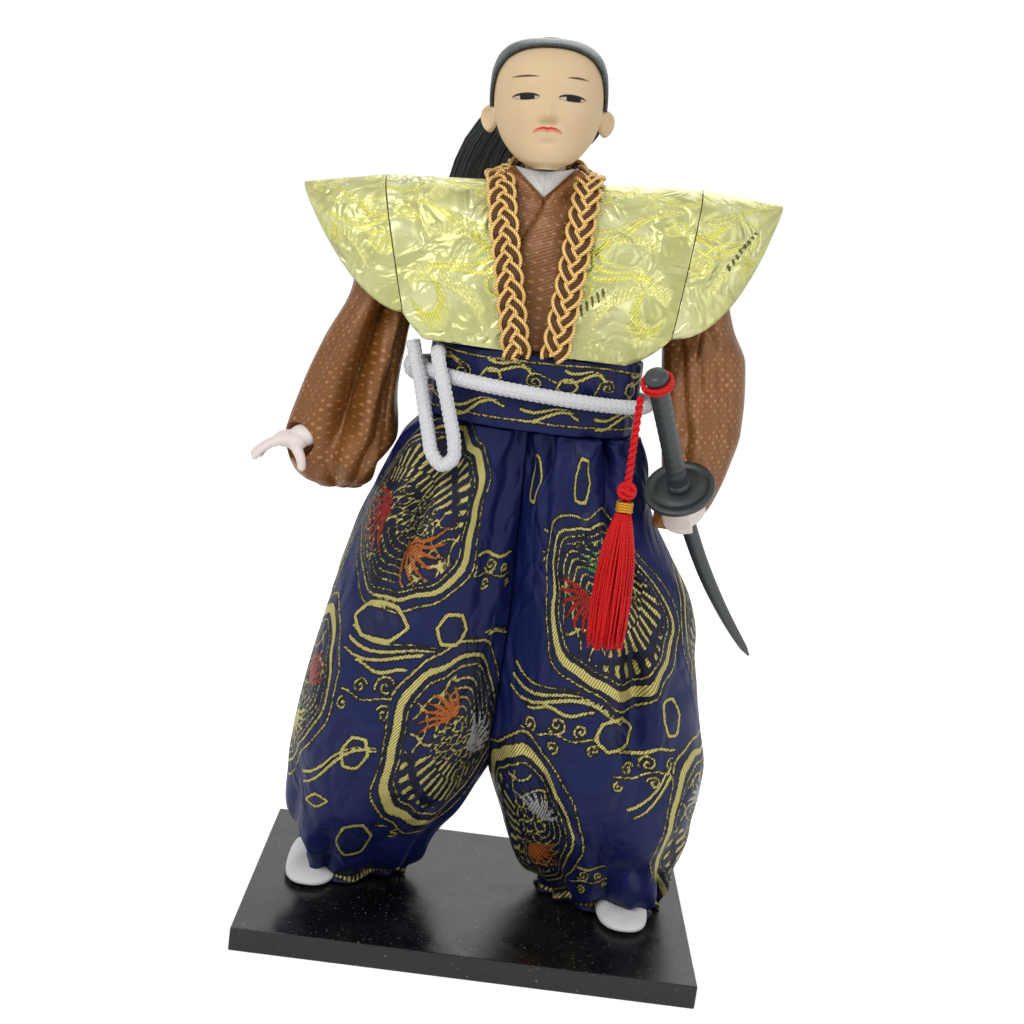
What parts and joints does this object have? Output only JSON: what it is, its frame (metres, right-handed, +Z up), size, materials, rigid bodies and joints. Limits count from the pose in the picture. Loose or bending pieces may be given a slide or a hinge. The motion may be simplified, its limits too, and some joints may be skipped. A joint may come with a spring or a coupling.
{
  "type": "samurai doll",
  "caption": "Standing costume doll on a flat board, with a turning head, swinging arms, a sword that draws from the fist and a hanging tassel.",
  "frame": {"origin": "centre of the board's underside, on the table", "axes": "+Z up, the doll faces -Y, +X towards the doll's left hand, which holds the sword"},
  "size_m": [0.1759, 0.1166, 0.2949],
  "materials": {
    "lacquered_board": "gloss black lacquer",
    "steel_wire": "drawn wire",
    "white_cotton": "woven cotton",
    "wadding": "padding",
    "navy_brocade": "satin ground with gold figures",
    "brown_satin": "satin with small dots",
    "gold_brocade": "lame brocade",
    "gold_braid": "plaited braid",
    "white_cord": "knitted cord",
    "face_skin": "moulded, skin colour",
    "hand_skin": "moulded, pale",
    "black_hair": "silk hair",
    "grey_plastic": "moulded dark grey",
    "red_thread": "silk thread",
    "gold_thread": "metallic thread",
    "pine_dowel": "plain pine"
  },
  "bodies": {
    "figure": {"base_board": "lacquered_board", "leg_wire_right": "steel_wire", "leg_wire_left": "steel_wire", "foot_right": "white_cotton", "foot_left": "white_cotton", "hakama_leg_right": "navy_brocade", "hakama_leg_left": "navy_brocade", "waistband": "navy_brocade", "belt_cord": "white_cord", "belt_knot": "white_cord", "belt_loop": "white_cord", "torso_core": "wadding", "shoulder_wire": "steel_wire", "neck_dowel": "pine_dowel", "kimono_body": "brown_satin", "kimono_lapel_right": "brown_satin", "kimono_lapel_left": "brown_satin", "inner_collar": "white_cotton", "kimono_collar": "brown_satin", "kataginu_right": "gold_brocade", "kataginu_left": "gold_brocade", "shoulder_wing_right": "gold_brocade", "shoulder_wing_left": "gold_brocade", "collar_braid": "gold_braid"},
    "head": {"head": "face_skin", "hair_cap": "black_hair", "hair_tie": "black_hair", "ponytail": "black_hair"},
    "right_arm": {"sleeve_right": "brown_satin", "arm_wire_right": "steel_wire", "hand_right": "hand_skin"},
    "left_arm": {"sleeve_left": "brown_satin", "arm_wire_left": "steel_wire", "hand_left": "hand_skin"},
    "sword": {"scabbard": "grey_plastic", "sword_guard": "grey_plastic", "sword_grip": "grey_plastic", "sword_pommel": "grey_plastic", "tassel_loop": "red_thread"},
    "tassel": {"tassel_cord": "red_thread", "tassel_knot": "red_thread", "tassel_band": "gold_thread", "tassel_skirt": "red_thread"}
  },
  "joints": [
    {"name": "head_turn", "type": "hinge", "parent": "figure", "child": "head", "pos_m": [-0.00571, 0, 0.23982], "axis": [-0.0785, 0, 0.9969], "range_deg": [-20, 12]},
    {"name": "right_arm_swing", "type": "hinge", "parent": "figure", "child": "right_arm", "pos_m": [-0.00539, 0, 0.23583], "axis": [-0.9969, 0, -0.0785], "range_deg": [-8, 8]},
    {"name": "left_arm_swing", "type": "hinge", "parent": "figure", "child": "left_arm", "pos_m": [-0.00539, 0, 0.23583], "axis": [-0.9969, 0, -0.0785], "range_deg": [0, 12]},
    {"name": "sword_draw", "type": "hinge", "parent": "left_arm", "child": "sword", "pos_m": [0.36077, -0.07949, 0.25454], "axis": [-0.046, 0.8097, 0.585], "range_deg": [0, 6]},
    {"name": "tassel_swing", "type": "hinge", "parent": "sword", "child": "tassel", "pos_m": [0.0288, -0.06036, 0.19351], "axis": [-1, 0, 0], "range_deg": [-8, 40]}
  ]
}
